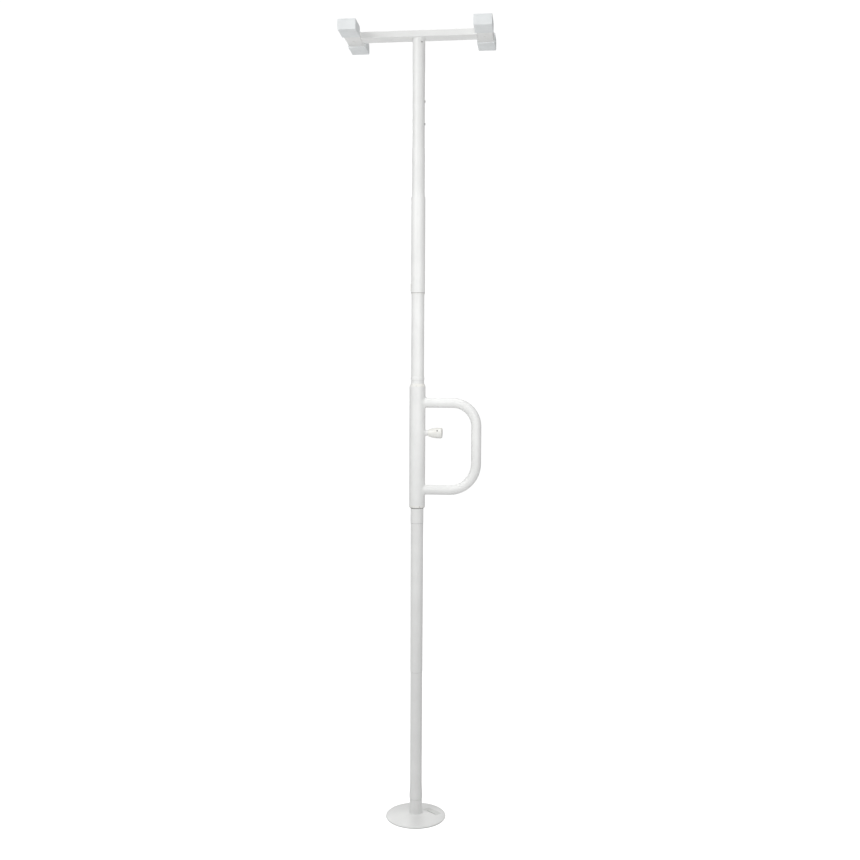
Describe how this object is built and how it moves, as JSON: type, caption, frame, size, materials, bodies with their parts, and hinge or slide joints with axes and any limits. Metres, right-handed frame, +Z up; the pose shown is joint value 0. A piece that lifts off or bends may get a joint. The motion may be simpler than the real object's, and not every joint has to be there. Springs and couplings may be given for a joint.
{
  "type": "floor to ceiling grab pole",
  "caption": "White floor-to-ceiling support pole with a round base, telescoping tubes, a turning D handle with a pull plunger, and a T-shaped ceiling head with rubber caps.",
  "frame": {"origin": "centre of the round base's underside, on the floor", "axes": "+Z up along the pole, +X along the ceiling bar and towards the D handle, +Y to the back of the head"},
  "size_m": [0.459, 0.2374, 2.442],
  "materials": {
    "white_powder_coat": "satin",
    "cap_rubber": "matt, faintly bluish white",
    "pad_rubber": "matt",
    "white_nylon": "satin",
    "knob_plastic": "satin, warm off-white",
    "zinc_steel": "zinc plated",
    "spring_steel": "oiled"
  },
  "bodies": {
    "base": {"floor_pad": "pad_rubber", "base_plate": "white_powder_coat", "base_socket": "white_powder_coat", "jack_screw": "zinc_steel"},
    "tension_collar": {"tension_nut": "zinc_steel", "tension_sleeve": "white_powder_coat"},
    "pole": {"foot_bush": "white_nylon", "lower_tube": "white_powder_coat", "lower_spigot": "zinc_steel", "middle_tube": "white_powder_coat", "middle_spigot": "zinc_steel", "handle_post": "white_powder_coat", "index_ring": "zinc_steel", "thrust_ring": "zinc_steel", "post_spigot": "zinc_steel", "inner_tube": "white_powder_coat", "inner_tube_ring": "white_powder_coat", "spigot_screws": "zinc_steel"},
    "handle": {"handle_sleeve": "white_powder_coat", "upper_bush": "white_nylon", "lower_bush": "white_nylon", "bush_screws": "zinc_steel", "d_handle": "white_powder_coat", "plunger_housing": "white_powder_coat", "plunger_cap": "zinc_steel", "plunger_spring": "spring_steel"},
    "plunger": {"plunger_pin": "zinc_steel", "plunger_knob": "knob_plastic", "knob_pin": "zinc_steel"},
    "upper": {"outer_tube": "white_powder_coat", "guide_bush": "white_nylon", "reducer_ring": "white_nylon", "lock_leaf": "spring_steel", "upper_tube_low": "white_powder_coat", "upper_tube_high": "white_powder_coat", "upper_spigot": "zinc_steel", "stub_spigot": "zinc_steel", "head_stub": "white_powder_coat", "upper_screws": "zinc_steel", "button_spring_low": "spring_steel", "button_spring_high": "spring_steel", "head_post": "white_powder_coat", "head_screw": "zinc_steel", "crossbar": "white_powder_coat", "cross_tube_left": "white_powder_coat", "cross_tube_right": "white_powder_coat", "cap_left_front": "cap_rubber", "cap_left_back": "cap_rubber", "cap_right_front": "cap_rubber", "cap_right_back": "cap_rubber"},
    "lock": {"lock_tab": "white_nylon"},
    "button_low": {"snap_button_low": "zinc_steel"},
    "button_high": {"snap_button_high": "zinc_steel"}
  },
  "joints": [
    {"name": "pole_lift", "type": "slide", "parent": "base", "child": "pole", "axis": [0, 0, 1], "range_m": [0, 0.012]},
    {"name": "collar_turn", "type": "hinge", "parent": "pole", "child": "tension_collar", "pos_m": [0, 0, 0.086], "axis": [0, 0, 1], "range_deg": [0, 1080]},
    {"name": "handle_turn", "type": "hinge", "parent": "pole", "child": "handle", "pos_m": [0, 0, 1.17], "axis": [0, 0, 1], "continuous": true},
    {"name": "plunger_pull", "type": "slide", "parent": "handle", "child": "plunger", "axis": [1, 0, 0], "range_m": [0, 0.006], "stiffness_N_per_m": 900, "springref_m": -0.004, "deforming": ["plunger_spring"]},
    {"name": "height_slide", "type": "slide", "parent": "pole", "child": "upper", "axis": [0, 0, 1], "range_m": [-0.14, 0]},
    {"name": "lock_pull", "type": "slide", "parent": "upper", "child": "lock", "axis": [-1, 0, 0], "range_m": [0, 0.004], "stiffness_N_per_m": 600, "springref_m": -0.002, "deforming": ["lock_leaf"]},
    {"name": "button_low_press", "type": "slide", "parent": "upper", "child": "button_low", "axis": [-1, 0, 0], "range_m": [0, 0.0035], "stiffness_N_per_m": 600, "springref_m": -0.002, "deforming": ["button_spring_low"]},
    {"name": "button_high_press", "type": "slide", "parent": "upper", "child": "button_high", "axis": [-1, 0, 0], "range_m": [0, 0.0035], "stiffness_N_per_m": 600, "springref_m": -0.002, "deforming": ["button_spring_high"]}
  ],
  "couplings": [
    {"joint": "collar_turn", "follows": "pole_lift", "rad_per_m": 1570.8}
  ]
}
